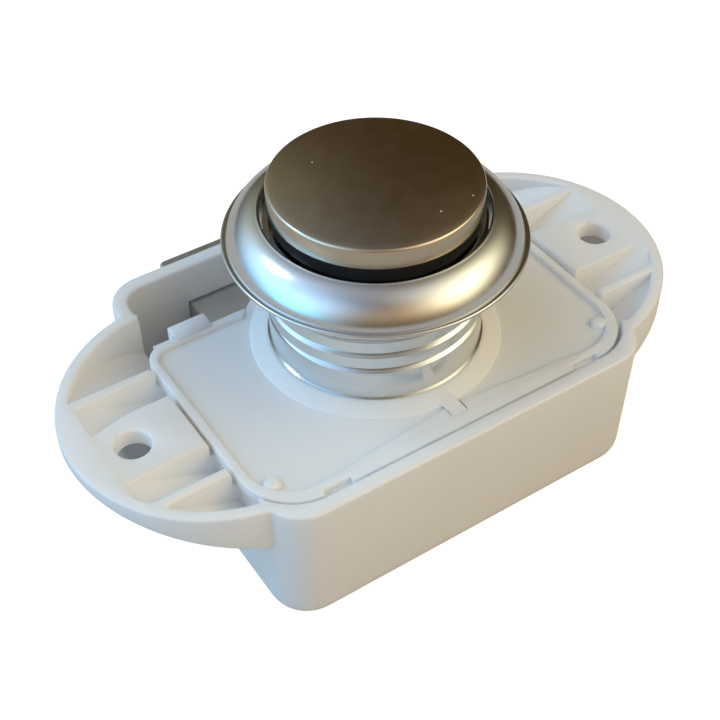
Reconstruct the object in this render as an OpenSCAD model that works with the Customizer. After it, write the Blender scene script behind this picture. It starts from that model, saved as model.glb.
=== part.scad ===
// Pushbutton cabinet lock with a spring bolt, for a board door.
// Origin: barrel axis on the door face of the case. +Z towards the button, +Y towards the bolt.

/* [Case] */
// Width of the tub, without the ears
case_w = 52; // [48:0.5:56]
// Barrel axis to the outside of the front wall
case_front = 22; // [21:0.25:25]
// Barrel axis to the outside of the rear wall (backset)
case_rear = 24.2; // [23.5:0.1:27]
// Depth of the tub behind the door face
case_h = 19; // [18:0.25:22]
// Wall thickness of the tub
wall = 2; // [1.6:0.1:2.4]
// Floor thickness of the tub
floor_t = 2; // [1.6:0.1:2.4]
// Corner radius of the tub in plan
corner_r = 5; // [4:0.25:7]
// Radius of the bottom edge
foot_r = 2.4; // [1:0.1:3]
// How far the walls lean in at the bottom
draft = 0.2; // [0:0.05:0.5]

/* [Ears] */
// Overall length over both ears
ear_span = 82; // [79:0.5:90]
// Radius of the ear arcs
ear_r = 18.8; // [17.5:0.1:20]
// Depth of the ear where it leaves the tub
ear_root_h = 6.3; // [5.5:0.1:7]
// Depth of the ear at its tip
ear_tip_h = 1.5; // [1.3:0.1:2.5]
// Floor thickness of the ear pockets
ear_floor = 1.2; // [1:0.1:1.6]
// How far inside the ear tip the pockets run out
ear_fade = 3.5; // [3:0.1:4.5]
// Thickness of the ear rim
rim_t = 1.6; // [1.2:0.1:2]
// Thickness of the ear ribs
rib_t = 1.3; // [1:0.1:1.8]
// Distance of the ribs from the screw line
rib_offset = 9.3; // [8.5:0.1:10.5]
// Width of the screw pads
pad_w = 9.6; // [8.6:0.1:11]
// Radius of the rear edge of the screw pads past the screw head
pad_sweep = 25; // [15:1:40]
// Thickness of the screw pads over the counterbore
pad_t = 2.2; // [1.8:0.1:2.6]

/* [Screw holes] */
// Distance between the screw holes
screw_pitch = 67.7; // [65:0.1:69]
// Diameter of the screw holes
screw_d = 4.2; // [3.6:0.1:4.6]
// Diameter of the counterbore for the screw head
head_d = 8.2; // [7.6:0.1:9]
// Screw line in front of the barrel axis
screw_front = 1.6; // [0:0.1:2.5]

/* [Cover plate] */
// Barrel axis to the rear edge of the cover
cover_rear = 11.8; // [11:0.1:13]
// Thickness of the cover
cover_t = 1; // [0.8:0.1:1.3]
// Height of the raised lip
lip_h = 0.6; // [0.4:0.05:0.8]
// Width of the lip at the sides and the rear
lip_w = 1.1; // [0.8:0.1:1.6]
// Width of the lip along the front
front_lip_w = 1.8; // [1.4:0.1:2.2]
// Lip top below the door face
cover_drop = 0.5; // [0.3:0.05:0.7]
// Foot width of the collar round the barrel
collar_w = 2.3; // [1.6:0.1:2.6]
// Height of the step at the foot of the collar
collar_step = 0.3; // [0.2:0.05:0.4]
// Width of the collar at its top
collar_lip = 0.25; // [0.2:0.05:0.5]
// Border of the cover behind the collar
cover_border = 1.2; // [0.8:0.1:1.6]
// Corner radius of the cover at the rear
cover_rear_r = 3; // [1.5:0.1:3.5]
// How much wider the front lip is at its middle
lip_swell = 1.6; // [0.8:0.1:1.8]
// Width of the web between the front lip and the collar
lip_web_w = 2.2; // [1.6:0.1:3]
// Width of the snap windows in the front edge
window_w = 3.6; // [3:0.1:4.2]
// Distance between the snap windows
window_pitch = 35.2; // [33:0.2:37]
// Depth of the snap windows from the front edge
window_d = 0.8; // [0.6:0.1:1.2]
// Radius of the studs in the front corners
stud_r = 1; // [0.7:0.1:1.2]
// Stud top above the lip
stud_h = 0.1; // [0.05:0.05:0.25]

/* [Snap hooks] */
// Width of each hook
hook_w = 5; // [4:0.1:5.6]
// Distance between the hook centres
hook_pitch = 38.6; // [37:0.2:41]
// Reach of the hook nose over the cover
hook_lap = 0.9; // [0.6:0.1:1.2]

/* [Barrel] */
// Outside diameter of the barrel
barrel_d = 26; // [25:0.25:27]
// Wall of the barrel
barrel_wall = 2.6; // [2.3:0.1:2.8]
// Flange thickness under the cover
flange_t = 1.3; // [1.1:0.1:1.5]
// Flange width outside the barrel
flange_w = 2.8; // [2.2:0.1:3]
// Width of the shoulder that sits in the cover
shoulder_w = 0.2; // [0.1:0.05:0.5]
// Length of the plain part at the bottom
plain_len = 4; // [3:0.1:5]
// Thread pitch
thread_pitch = 2.4; // [2:0.1:2.8]
// Thread depth
thread_depth = 0.5; // [0.3:0.05:0.6]
// Width of the thread groove
groove_w = 0.9; // [0.7:0.05:1.1]

/* [Rosette] */
// Door thickness clamped between case and rosette
panel_t = 14; // [12:0.25:18]
// Width of the rosette outside the thread
rosette_w = 4.65; // [4:0.05:6]
// Height of the rosette
rosette_h = 4.2; // [3.8:0.1:5]
// Thickness of the thin rim at the foot of the rosette
rosette_edge = 0.5; // [0.4:0.05:0.7]
// Width of that rim
rosette_rim = 0.55; // [0.3:0.05:0.8]
// How far the slope of the rosette bulges
rosette_crown = 0.75; // [0.4:0.05:0.9]
// Radius of the inner top edge of the rosette
rosette_round = 0.3; // [0.15:0.05:0.4]

/* [Button] */
// Gap between the button and the rosette
button_gap = 0.8; // [0.6:0.05:1]
// Button edge above the rosette
button_proud = 3.5; // [2.8:0.1:4.2]
// Height of the cap skirt
skirt_h = 2.6; // [2.2:0.1:3]
// Height of the domed top
dome_h = 1.2; // [0.8:0.1:1.8]
// Radius of the button edge
button_round = 0.35; // [0.2:0.05:0.5]
// Wall of the cap
cap_wall = 1; // [0.8:0.1:1.2]
// Thickness of the cap roof at its edge
cap_roof = 1.2; // [1:0.1:1.4]
// Height of the black neck under the cap
neck_h = 2; // [1.6:0.1:2.4]
// Extra travel needed to release the catch
over_travel = 1.8; // [1.4:0.1:1.9]

/* [Bolt] */
// Width of the bolt
bolt_w = 29.2; // [28:0.2:31]
// Thickness of the bolt
bolt_t = 8; // [7:0.1:8.6]
// Bolt top below the door face
bolt_depth = 6; // [5.8:0.1:7]
// How far the bolt stands out of the case
bolt_reach = 7.6; // [6.5:0.1:8.4]
// Gap between the drive pins and the heel of the bolt when it is drawn back
heel_gap = 2.5; // [2:0.1:3]
// How far it stands out when it is drawn back
bolt_rest = 0.4; // [0.2:0.1:0.8]
// Thickness left at the tip of the bolt
tip_t = 3; // [2.4:0.1:4]
// Corner radius of the bolt tip
tip_r = 1; // [0.5:0.1:1.5]

/* [Springs and catch] */
// Wire diameter of the button spring
button_wire_d = 1; // [0.8:0.1:1.1]
// Turns of the button spring
button_turns = 6.5; // [5.5:0.5:7.5]
// Wire diameter of the bolt springs
bolt_wire_d = 0.4; // [0.3:0.05:0.45]
// Length of the pegs that hold the bolt springs
peg_len = 5; // [4:0.1:6]
// Turns of each bolt spring
bolt_turns = 12; // [10:1:14]
// Wire diameter of the catch
catch_d = 1; // [0.9:0.05:1.1]
// Diameter of the drive pins
pin_d = 2; // [1.8:0.1:2.1]
// Height of the spigot that centres the button spring
spigot_h = 2.5; // [2:0.1:3]
// Height of the boss that holds the catch wire
boss_h = 4; // [3:0.1:5]
// Wall of that boss
boss_wall = 1.6; // [1.2:0.1:2]
// Depth of the flat on the slider
flat_d = 1.2; // [1:0.05:1.4]
// Depth of the catch track
track_depth = 1.1; // [0.9:0.05:1.2]

/* [Clearances] */
// Running clearance of sliding pieces
slide_clear = 0.2; // [0.15:0.05:0.25]
// Clearance of the rosette on the thread
thread_clear = 0.25; // [0.2:0.05:0.3]
// Gap round the cover plate
cover_gap = 0.5; // [0.4:0.05:0.6]

/* [Hidden] */
$fn = 96;
eps = 0.02;
far = 100;

// Tub and ears
case_hw = case_w / 2;
in_hw = case_hw - wall;
in_front = -(case_front - wall);
in_rear = case_rear - wall;
floor_z = floor_t - case_h;
ear_cx = ear_span / 2 - ear_r;
ear_slope = atan((ear_root_h - ear_tip_h) / (ear_span / 2 - case_hw));
pocket_slope = atan((ear_root_h - ear_floor) / (ear_span / 2 - ear_fade - case_hw));
screw_x = screw_pitch / 2;
screw_y = -screw_front;

// Cover plate
cover_hw = case_hw + 0.3;
cover_front = case_front - wall - cover_gap;
cover_top = -cover_drop - lip_h;
cover_bottom = cover_top - cover_t;
cover_front_r = corner_r + wall;
in_front_r = cover_front_r + cover_gap - wall;

// Barrel, rosette and button along the axis
barrel_r = barrel_d / 2;
bore_r = barrel_r - barrel_wall;
shoulder_r = barrel_r + shoulder_w;
barrel_bottom = cover_bottom - flange_t;
rosette_top = panel_t + rosette_h;
rosette_in_r = barrel_r + thread_clear;
rosette_r = rosette_in_r + rosette_w;
button_r = rosette_in_r - button_gap;
button_edge_z = rosette_top + button_proud;
cap_bottom = button_edge_z - skirt_h;
collar_r = barrel_r - 0.9;
collar_bottom = cap_bottom - neck_h;
well_r = collar_r + slide_clear;
well_bottom = collar_bottom - over_travel - 0.3;
barrel_top = cap_bottom - over_travel - 0.5;

// Travel of the button between the floor and the barrel
plunger_r = bore_r - slide_clear;
stop_r = bore_r + 0.8;
stop_t = pin_d + 0.4;
travel = barrel_bottom - floor_z - over_travel - stop_t - 2 * slide_clear;
slider_bottom = floor_z + slide_clear + over_travel;
slider_top = slider_bottom + stop_t + travel + 2.4;
pin_z = slider_bottom + stop_t / 2;
spring_bore_r = bore_r - 3.2;
spring_roof = slider_top - 2;
joint_h = 3;

// Bolt and its ramps
bolt_hw = bolt_w / 2;
bolt_top = -bolt_depth;
bolt_bottom = bolt_top - bolt_t;
retract = bolt_reach - bolt_rest;
ratio = retract / travel;
ramp_in = stop_r + 0.4;
ramp_t = 1.9;
rail_in = ramp_in + ramp_t;
rail_w = 3.6;
rail_out = rail_in + rail_w;
rail_x = rail_in + rail_w / 2;
rail_front = in_front + retract + 0.5;
nose_root = stop_r + retract + slide_clear;
nose_tip = case_rear + bolt_reach;
block_front = retract + pin_d + heel_gap;
ramp_top = barrel_bottom - 0.3;
ramp_bottom = floor_z + slide_clear;
ramp_shift = (pin_d / 2 + 0.1) * sqrt(1 + ratio * ratio);

// Springs and catch
bolt_spring_r = 1.1;
bolt_bore_r = bolt_spring_r + 0.15;
bolt_bore_end = 2;
peg_r = bolt_spring_r - bolt_wire_d - 0.1;
button_spring_r = spring_bore_r - 0.5;
catch_r = catch_d / 2;
catch_z = barrel_bottom - 1.4 * catch_d;
catch_y = -stop_r - catch_r - boss_wall - slide_clear;
wire_foot = floor_z + 0.5;
flat_y = flat_d - plunger_r;
track_r = catch_r + 0.3;
track_x = 2.1;
catch_bend = 1.5;

// Copies the children to both sides of the YZ plane
module both_sides() {
    children();
    mirror([1, 0, 0]) children();
}

// Rectangle with one corner radius at the front and another at the rear
module plan_plate(hw, front, rear, r_front, r_rear) {
    translate([-hw, r_front - front]) square([2 * hw, front + rear - r_front - r_rear]);
    translate([r_front - hw, -front]) square([2 * (hw - r_front), r_front + eps]);
    translate([r_rear - hw, rear - r_rear - eps]) square([2 * (hw - r_rear), r_rear + eps]);
    for (x = [-1, 1]) {
        translate([x * (hw - r_front), r_front - front]) circle(r_front);
        translate([x * (hw - r_rear), rear - r_rear]) circle(r_rear);
    }
}

// Extrudes a profile drawn in Y and Z along X
module along_x(x0, x1) {
    translate([x0, 0, 0]) rotate([90, 0, 90]) linear_extrude(x1 - x0) children();
}

// Box between two corners
module block(a, b) {
    translate(a) cube(b - a);
}

// Outside of the tub with leaning walls and a rounded bottom edge
module tub_outside() {
    hull() for (x = [-1, 1], y = [-1, 1]) {
        cx = x * (case_hw - corner_r);
        cy = y > 0 ? case_rear - corner_r : corner_r - case_front;
        translate([cx, cy, -1]) cylinder(r = corner_r, h = 1, $fn = 48);
        translate([cx - x * draft, cy - y * draft, foot_r - case_h])
            rotate_extrude($fn = 48) translate([corner_r - foot_r, 0]) circle(foot_r, $fn = 32);
    }
}

// Plan of the right ear
module ear_plan(r) {
    intersection() {
        translate([ear_cx, 0]) circle(r);
        translate([case_hw - wall / 2, -far]) square([far, 2 * far]);
    }
}

// Right ear before its pockets are cut
module ear_blank() {
    intersection() {
        translate([0, 0, -ear_root_h]) linear_extrude(ear_root_h) ear_plan(ear_r);
        translate([case_hw, -far, -ear_root_h]) rotate([0, -ear_slope, 0])
            translate([-far, 0, 0]) cube([2 * far, 2 * far, far]);
    }
}

// Outline of the right screw pad, whose rear edge bends in past the screw head
module pad_plan() {
    x0 = screw_x - head_d / 2;
    intersection() {
        translate([0, screw_y - pad_w / 2]) square([far, pad_w]);
        union() {
            translate([0, -far]) square([x0, 2 * far]);
            translate([x0, screw_y + pad_w / 2 - pad_sweep]) circle(pad_sweep, $fn = 360);
        }
    }
}

// Pockets of the right ear, cut from above
module ear_pockets() {
    intersection() {
        translate([0, 0, -ear_root_h]) linear_extrude(ear_root_h + eps) difference() {
            intersection() {
                translate([ear_cx, 0]) circle(ear_r - rim_t);
                union() {
                    translate([case_hw, -far]) square([far, 2 * far]);
                    translate([in_hw - eps, screw_y + rib_offset]) square([far, far]);
                }
            }
            pad_plan();
            for (s = [-1, 1])
                translate([0, screw_y + s * rib_offset - rib_t / 2]) square([far, rib_t]);
        }
        translate([case_hw, -far, ear_floor - ear_root_h]) rotate([0, -pocket_slope, 0])
            translate([-far, 0, 0]) cube([2 * far, 2 * far, far]);
    }
}

// Snap hook on its cross wall at the rear edge of the cover
module snap_hook() {
    y0 = cover_rear + cover_gap / 2;
    block([rail_out + slide_clear + 0.7, y0, floor_z - eps], [in_hw + eps, y0 + 1.4, cover_bottom]);
    along_x((hook_pitch - hook_w) / 2, (hook_pitch + hook_w) / 2) polygon([
        [y0, cover_bottom - eps], [y0 + 1.4, cover_bottom - eps], [y0 + 1.4, 0], [y0 + 0.3, 0],
        [cover_rear - hook_lap, 0.05 - cover_drop], [y0, 0.05 - cover_drop]]);
}

// Guides, runner and spring peg of the right half of the bolt
module bolt_guides() {
    g = rail_out + slide_clear;
    block([g, in_front - eps, floor_z - eps], [g + 1.4, cover_rear + 1, bolt_bottom + bolt_t / 2]);
    block([rail_in + 0.5, in_front - eps, floor_z - eps], [rail_out - 0.4, in_rear + eps, bolt_bottom - 0.1]);
    translate([rail_x, in_front - eps, (bolt_top + bolt_bottom) / 2])
        rotate([-90, 0, 0]) cylinder(r = peg_r, h = peg_len, $fn = 32);
}

module case_body() {
    color("white") difference() {
        union() {
            difference() {
                union() {
                    tub_outside();
                    both_sides() ear_blank();
                }
                translate([0, 0, floor_z]) linear_extrude(far)
                    plan_plate(in_hw, -in_front, in_rear, in_front_r, corner_r - wall);
                translate([0, 0, cover_bottom]) linear_extrude(far)
                    plan_plate(cover_hw + cover_gap, cover_front + cover_gap, cover_rear + cover_gap / 2,
                        cover_front_r + cover_gap, cover_rear_r);
                both_sides() ear_pockets();
                block([-bolt_hw - slide_clear, in_rear - 1, bolt_bottom - slide_clear],
                    [bolt_hw + slide_clear, case_rear + 1, bolt_top + slide_clear]);
            }
            both_sides() snap_hook();
            both_sides() bolt_guides();
            translate([0, 0, floor_z - eps]) cylinder(r = button_spring_r - 2 * button_wire_d, h = spigot_h);
            translate([0, catch_y, floor_z - eps]) cylinder(r = catch_r + boss_wall, h = boss_h);
        }
        both_sides() translate([screw_x, screw_y, -ear_root_h - 1]) {
            cylinder(r = screw_d / 2, h = far);
            cylinder(r = head_d / 2, h = ear_root_h + 1 - pad_t);
        }
        translate([0, catch_y, wire_foot]) cylinder(r = catch_r, h = boss_h, $fn = 32);
    }
}

// Sunk field of the cover, bounded by the lip, which swells towards the middle of the front
module cover_field() {
    y0 = front_lip_w - cover_front;
    corner_x = cover_hw - cover_front_r;
    difference() {
        plan_plate(cover_hw - lip_w, -y0, cover_rear - lip_w, cover_front_r - lip_w, cover_rear_r - lip_w);
        polygon([[-corner_x, y0], [-lip_web_w / 2, y0 + lip_swell], [-lip_web_w / 2, -shoulder_r],
            [lip_web_w / 2, -shoulder_r], [lip_web_w / 2, y0 + lip_swell], [corner_x, y0], [0, y0 - 1]]);
    }
}

// Stud in the right front corner of the sunk field
module cover_stud() {
    in_r = cover_front_r - lip_w;
    reach = in_r - stud_r + slide_clear;
    translate([cover_hw - cover_front_r, cover_front_r - cover_front + front_lip_w - lip_w, cover_top - eps])
        rotate([0, 0, -35]) translate([reach, 0, 0]) cylinder(r = stud_r, h = lip_h + stud_h + eps, $fn = 48);
}

module cover_plate() {
    foot_r = shoulder_r + collar_w;
    disc_r = foot_r + cover_border;
    color("whitesmoke") difference() {
        union() {
            difference() {
                translate([0, 0, cover_bottom]) linear_extrude(cover_t + lip_h)
                    plan_plate(cover_hw, cover_front, cover_rear, cover_front_r, cover_rear_r);
                translate([0, 0, cover_top]) linear_extrude(far) cover_field();
                intersection() {
                    translate([0, 0, cover_top]) cylinder(r = disc_r, h = far);
                    block([-far, 0, -far], [far, far, far]);
                }
            }
            translate([0, 0, cover_bottom]) cylinder(r = disc_r, h = cover_t);
            rotate_extrude() polygon([[0, cover_top - eps], [foot_r, cover_top - eps],
                [foot_r, cover_top + collar_step], [shoulder_r + collar_lip, 0], [0, 0]]);
            both_sides() cover_stud();
            both_sides() for (y = [-cover_rear, cover_rear - 2])
                block([rail_x - 0.6, y, bolt_top + 0.1], [rail_x + 0.6, y + 1.6, cover_bottom + eps]);
        }
        cylinder(r = shoulder_r, h = far, center = true);
        both_sides() block([(window_pitch - window_w) / 2, -cover_front - 1, -cover_drop - 0.8],
            [(window_pitch + window_w) / 2, window_d - cover_front, 1]);
    }
}

module barrel_tube() {
    color("silver") rotate_extrude() difference() {
        union() {
            translate([bore_r, barrel_bottom]) square([barrel_wall, barrel_top - barrel_bottom]);
            translate([bore_r, barrel_bottom]) square([shoulder_r - bore_r, -barrel_bottom]);
            translate([bore_r, barrel_bottom]) square([barrel_wall + flange_w, flange_t]);
        }
        translate([0, well_bottom]) square([well_r, far]);
        for (z = [plain_len + groove_w / 2 : thread_pitch : barrel_top - groove_w])
            translate([barrel_r, z])
                polygon([[-thread_depth, 0], [eps, -groove_w / 2], [eps, groove_w / 2]]);
    }
}

module rosette_ring() {
    foot_r = rosette_r - rosette_rim;
    run = rosette_w - rosette_rim - rosette_round;
    rise = rosette_h - rosette_edge;
    chord = sqrt(run * run + rise * rise);
    crown_r = (chord * chord / 4 + rosette_crown * rosette_crown) / (2 * rosette_crown);
    sink = (crown_r - rosette_crown) / chord;
    color("silver") rotate_extrude() difference() {
        union() {
            translate([rosette_in_r, panel_t]) square([rosette_w, rosette_edge]);
            intersection() {
                translate([rosette_in_r, panel_t]) square([foot_r - rosette_in_r, rosette_h]);
                translate([foot_r - run / 2 - sink * rise, rosette_top - rise / 2 - sink * run])
                    circle(crown_r, $fn = 360);
            }
        }
        difference() {
            translate([rosette_in_r - eps, rosette_top - rosette_round]) square(rosette_round + eps);
            translate([rosette_in_r + rosette_round, rosette_top - rosette_round]) circle(rosette_round);
        }
    }
}

module button_cap() {
    dome_r = (button_r * button_r + dome_h * dome_h) / (2 * dome_h);
    dome_z = button_edge_z + dome_h - dome_r;
    round_x = button_r - button_round;
    round_z = dome_z + sqrt(pow(dome_r - button_round, 2) - pow(round_x, 2));
    color("silver") rotate_extrude() difference() {
        union() {
            intersection() {
                translate([0, cap_bottom]) square([round_x * dome_r / (dome_r - button_round), far]);
                translate([0, dome_z]) circle(dome_r, $fn = 720);
            }
            translate([0, cap_bottom]) square([button_r, round_z - cap_bottom]);
            translate([round_x, round_z]) circle(button_round, $fn = 48);
        }
        translate([-1, cap_bottom - 1]) square([button_r - cap_wall + 1, skirt_h - cap_roof + 1]);
    }
}

module plunger() {
    head_r = button_r - cap_wall - 0.1;
    color("black") rotate_extrude() difference() {
        union() {
            translate([0, slider_top]) square([plunger_r, collar_bottom - slider_top + eps]);
            translate([0, collar_bottom]) square([collar_r, cap_bottom - collar_bottom]);
            translate([0, cap_bottom - eps]) square([head_r, skirt_h - cap_roof + eps]);
        }
        translate([0, slider_top - 1]) square([plunger_r - 2.4, collar_bottom - slider_top]);
    }
}

// Outline of the catch track on the flat of the slider, drawn in X and Z
module track_plan() {
    low = catch_z - travel;
    high = catch_z + over_travel;
    notch = catch_z - 0.95 * catch_d;
    wing = 1.2 * catch_d;
    shelf = low + 5.4 * catch_d;
    difference() {
        hull() {
            translate([0, low]) circle(track_r, $fn = 32);
            for (x = [-1, 1], z = [low + 5 * catch_d, high - 0.2])
                translate([x * track_x, z]) circle(track_r, $fn = 32);
        }
        polygon([[0, low + 1.9 * catch_d], [wing, shelf], [wing, catch_z], [0.9 * catch_d, notch + wing],
            [0, notch], [-0.9 * catch_d, notch + wing], [-wing, catch_z], [-wing, shelf]]);
    }
}

module drive_slider() {
    color("ivory") difference() {
        union() {
            translate([0, 0, slider_bottom]) cylinder(r = plunger_r, h = slider_top - slider_bottom);
            translate([0, 0, slider_bottom]) cylinder(r = stop_r, h = stop_t);
            translate([0, 0, slider_top - eps]) cylinder(r = plunger_r - 2.5, h = joint_h + eps);
        }
        translate([0, 0, slider_bottom - 1]) cylinder(r = spring_bore_r, h = spring_roof - slider_bottom + 1);
        translate([0, 0, slider_top - 1]) cylinder(r = plunger_r - 4.5, h = joint_h + 2);
        block([-far, -far, slider_bottom - 1], [far, flat_y, slider_top + eps]);
        translate([0, flat_y + track_depth, 0]) rotate([90, 0, 0]) linear_extrude(far) track_plan();
        translate([-far, 0, pin_z]) rotate([0, 90, 0]) cylinder(r = pin_d / 2, h = 2 * far, $fn = 48);
    }
}

// Right drive pin
module drive_pin() {
    color("gray") translate([spring_bore_r + 0.2, 0, pin_z]) rotate([0, 90, 0])
        cylinder(r = pin_d / 2, h = rail_in - slide_clear - spring_bore_r - 0.2, $fn = 48);
}

module drive_pin_right() {
    drive_pin();
}

module drive_pin_left() {
    mirror([1, 0, 0]) drive_pin();
}

// Height of a coil after t turns, with one closed turn at each end
function coil_z(t, turns, wire_d, len) = let (
    closed = 1.1 * wire_d,
    pitch = (len - wire_d - 2 * closed) / (turns - 2)
) wire_d / 2 + (t < 1 ? closed * t
    : t > turns - 1 ? len - wire_d - closed * (turns - t)
    : closed + pitch * (t - 1));

// Coil spring along Z from 0 to len
module coil(out_r, wire_d, len, turns, steps, sides) {
    n = round(turns * steps);
    mean_r = out_r - wire_d / 2;
    points = [for (i = [0 : n], j = [0 : sides - 1]) let (
        a = 360 * i / steps,
        b = 360 * j / sides,
        r = mean_r + wire_d / 2 * cos(b)
    ) [r * cos(a), r * sin(a), coil_z(i / steps, turns, wire_d, len) + wire_d / 2 * sin(b)]];
    tube = [for (i = [0 : n - 1], j = [0 : sides - 1], h = [0, 1]) let (
        k = (j + 1) % sides,
        a = i * sides + j,
        b = i * sides + k,
        c = (i + 1) * sides + k,
        d = (i + 1) * sides + j
    ) h == 0 ? [d, c, b] : [d, b, a]];
    first = [for (j = [0 : sides - 1]) sides - 1 - j];
    last = [for (j = [0 : sides - 1]) n * sides + j];
    polyhedron(points, concat([first], [last], tube), convexity = 10);
}

module button_spring() {
    color("lightgray") translate([0, 0, floor_z + eps])
        coil(button_spring_r, button_wire_d, spring_roof - floor_z - 2 * eps, button_turns, 24, 8);
}

// Right bolt spring
module bolt_spring() {
    color("lightgray") translate([rail_x, in_front + eps, (bolt_top + bolt_bottom) / 2]) rotate([-90, 0, 0])
        coil(bolt_spring_r, bolt_wire_d, bolt_bore_end - in_front - 2 * eps, bolt_turns, 12, 6);
}

module bolt_spring_right() {
    bolt_spring();
}

module bolt_spring_left() {
    mirror([1, 0, 0]) bolt_spring();
}

module latch_bolt() {
    bevel_y = nose_tip - (bolt_t - tip_t) * 1.3;
    color("darkgray") difference() {
        union() {
            intersection() {
                along_x(-bolt_hw, bolt_hw) polygon([[block_front, bolt_bottom], [bevel_y, bolt_bottom],
                    [nose_tip, bolt_top - tip_t], [nose_tip, bolt_top], [block_front, bolt_top]]);
                translate([0, 0, bolt_bottom - 1]) linear_extrude(bolt_t + 2)
                    plan_plate(bolt_hw, 0, nose_tip, tip_r, tip_r);
            }
            both_sides() {
                block([rail_in, rail_front, bolt_bottom], [rail_out, nose_root, bolt_top]);
                along_x(ramp_in, rail_in + eps) polygon([[rail_front, ramp_bottom],
                    [ratio * (ramp_bottom - pin_z) - ramp_shift, ramp_bottom],
                    [ratio * (ramp_top - pin_z) - ramp_shift, ramp_top], [rail_front, ramp_top]]);
            }
        }
        translate([0, retract, bolt_bottom - 1]) cylinder(r = stop_r + slide_clear, h = bolt_t + 2);
        both_sides() translate([rail_x, rail_front - 1, (bolt_top + bolt_bottom) / 2])
            rotate([-90, 0, 0]) cylinder(r = bolt_bore_r, h = bolt_bore_end - rail_front + 1, $fn = 48);
    }
}

module catch_wire() {
    color("gray") {
        translate([0, catch_y, wire_foot])
            cylinder(r = catch_r, h = catch_z - catch_bend - wire_foot, $fn = 32);
        translate([0, catch_y + catch_bend, catch_z - catch_bend]) rotate([90, 0, -90])
            rotate_extrude(angle = 90, $fn = 64) translate([catch_bend, 0]) circle(catch_r, $fn = 32);
        translate([0, catch_y + catch_bend, catch_z]) rotate([-90, 0, 0])
            cylinder(r = catch_r, h = flat_y + track_depth - slide_clear - catch_y - catch_bend, $fn = 32);
    }
}

case_body();
cover_plate();
barrel_tube();
rosette_ring();
button_cap();
plunger();
drive_slider();
drive_pin_left();
drive_pin_right();
button_spring();
latch_bolt();
bolt_spring_left();
bolt_spring_right();
catch_wire();
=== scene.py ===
"""Pushbutton cabinet lock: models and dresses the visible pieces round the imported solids."""

import logging
import math
from collections.abc import Callable, Iterator, Sequence
from contextlib import contextmanager
from dataclasses import dataclass
from enum import Enum

import bmesh
import bpy
from mathutils import Matrix, Vector


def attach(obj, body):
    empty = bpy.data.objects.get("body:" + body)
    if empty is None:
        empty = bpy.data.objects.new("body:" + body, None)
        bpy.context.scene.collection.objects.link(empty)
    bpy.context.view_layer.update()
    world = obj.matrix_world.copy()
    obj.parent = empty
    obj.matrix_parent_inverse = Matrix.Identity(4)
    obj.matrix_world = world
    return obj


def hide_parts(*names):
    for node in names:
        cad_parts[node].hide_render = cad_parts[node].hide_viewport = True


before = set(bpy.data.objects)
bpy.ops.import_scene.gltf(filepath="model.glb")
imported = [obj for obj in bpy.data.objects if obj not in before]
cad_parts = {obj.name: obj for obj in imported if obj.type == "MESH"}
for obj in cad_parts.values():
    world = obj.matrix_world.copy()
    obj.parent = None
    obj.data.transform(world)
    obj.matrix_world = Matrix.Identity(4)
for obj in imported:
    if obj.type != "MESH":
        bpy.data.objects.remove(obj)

LOG = logging.getLogger("lock")
MM = 0.001
FULL_TURN = 2 * math.pi
CORNER_ANGLE = math.radians(28)
SMOOTH_ANGLE = math.radians(32)

# Closeness in metres: planes, welded points, welded points of a finished piece, level edges
TINY = 1e-7
WELD = 1e-6
CLEAN_WELD = 2e-6
LEVEL = 1e-5

# Share of its length that an upright edge climbs
STRAIGHT = 0.99

# How far cutters reach past a piece, and added solids into it, in millimetres
PAST = 1.0
INTO = 0.02

# Axis of the right bolt spring as (x, z), in millimetres
SPRING_AT = (15.3, -10.0)

Piece = bpy.types.Object
Socket = bpy.types.NodeSocket
Colour = tuple[float, float, float]
Pair = tuple[float, float]
Corner = Sequence[float]
Profile = list[Pair]
EdgeTest = Callable[[bmesh.types.BMEdge], bool]


class Join(Enum):
    """How one solid is combined with another."""

    ADD = "UNION"
    CUT = "DIFFERENCE"


class Axis(Enum):
    """Turn that lays a cylinder along an axis of the frame."""

    ALONG_Z = (0.0, 0.0, 0.0)
    ALONG_Y = (math.pi / 2, 0.0, 0.0)


class Side(Enum):
    """Which side of a cutting plane stays."""

    FRONT = "front"
    BEHIND = "behind"


class Pick(Enum):
    """What is selected in edit mode."""

    POINTS = "VERT"
    EDGES = "EDGE"
    FACES = "FACE"


class Round(Enum):
    """Facets round a circle."""

    WIRE = 32
    PIN = 48
    SCREW = 64
    ROD = 96
    TUBE = 144
    EAR = 160
    RING = 192
    SWEEP = 360


class Curve(Enum):
    """Facets across a rounded edge."""

    TRACE = 2
    SMALL = 3
    MEDIUM = 4
    LARGE = 6
    CORNER = 10


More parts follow.
